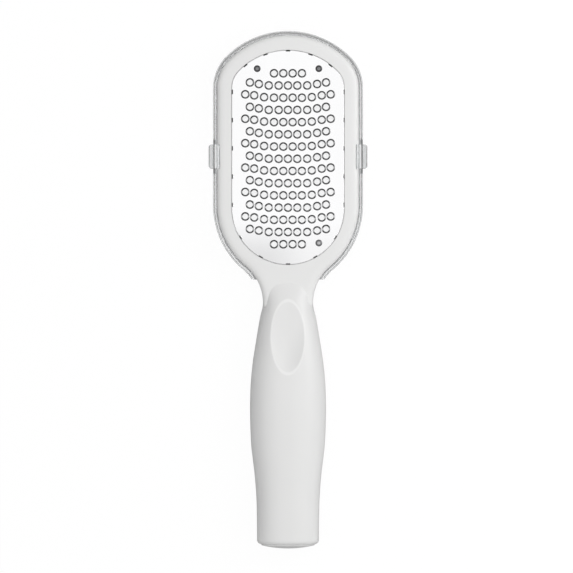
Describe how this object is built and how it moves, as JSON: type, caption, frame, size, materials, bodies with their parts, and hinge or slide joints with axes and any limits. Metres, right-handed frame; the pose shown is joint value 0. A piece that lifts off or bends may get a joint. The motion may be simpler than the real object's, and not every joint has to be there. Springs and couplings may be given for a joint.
{
  "type": "foot rasp",
  "caption": "Paddle-shaped foot rasp: a toothed steel plate in a plastic frame with a moulded grip, and a clear clip-on tray behind it for filings.",
  "frame": {"origin": "on the surface that the rasp lies on, at the middle of its length and width", "axes": "+Y along the tool from the heel of the grip to the tip of the head, +Z out of the rasping face, +X to the right seen from the rasping side with the head up"},
  "size_m": [0.0672, 0.22, 0.022],
  "materials": {
    "white_plastic": "semi-gloss moulded",
    "plate_steel": "fine satin, bright",
    "rivet_steel": "dark satin",
    "clear_plastic": "clear, polished"
  },
  "bodies": {
    "root": {"handle_front": "white_plastic", "handle_back": "white_plastic", "rasp_plate": "plate_steel", "rivet_upper_left": "rivet_steel", "rivet_upper_right": "rivet_steel", "rivet_lower_right": "rivet_steel", "catch_tray": "clear_plastic"}
  },
  "joints": []
}
